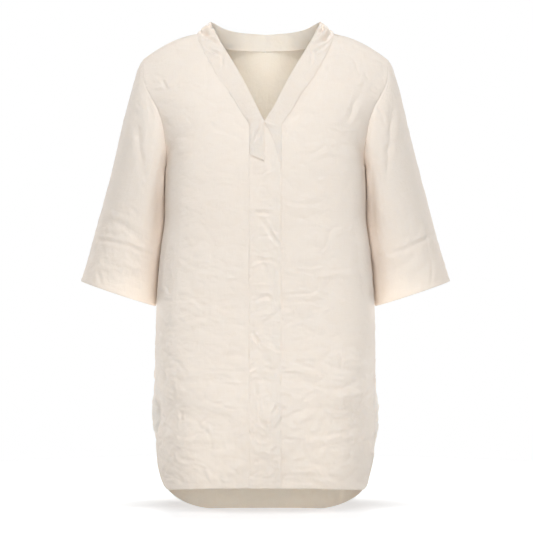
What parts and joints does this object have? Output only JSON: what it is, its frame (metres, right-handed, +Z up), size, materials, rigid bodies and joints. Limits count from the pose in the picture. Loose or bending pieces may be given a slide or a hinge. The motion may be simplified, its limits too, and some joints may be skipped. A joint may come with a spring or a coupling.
{
  "type": "kaftan blouse",
  "caption": "Worn, hollow linen kaftan blouse: V neck with a stand-up band, concealed front placket, half sleeves, side slits and a rounded hem that is longer at the back.",
  "frame": {"origin": "midway between the two points where the shoulder seams meet the neck band, where the wearer holds the garment up", "axes": "+Z up along the body, front faces -Y, +X towards the wearer's left sleeve"},
  "size_m": [0.6172, 0.246, 0.8242],
  "materials": {
    "front_right_linen": "undyed plain-weave linen with slubs, washed and creased, matt",
    "front_left_linen": "undyed plain-weave linen with slubs, washed and creased, matt",
    "back_linen": "undyed plain-weave linen with slubs, washed and creased, matt",
    "placket_linen": "undyed plain-weave linen with slubs, washed and creased, matt",
    "neckband_linen": "undyed plain-weave linen with slubs, washed and creased, matt",
    "sleeve_right_linen": "undyed plain-weave linen with slubs, washed and creased, matt",
    "sleeve_left_linen": "undyed plain-weave linen with slubs, washed and creased, matt"
  },
  "bodies": {
    "root": {"front_right": "front_right_linen", "front_left": "front_left_linen", "back": "back_linen", "placket": "placket_linen", "neckband": "neckband_linen", "sleeve_right": "sleeve_right_linen", "sleeve_left": "sleeve_left_linen"}
  },
  "joints": []
}
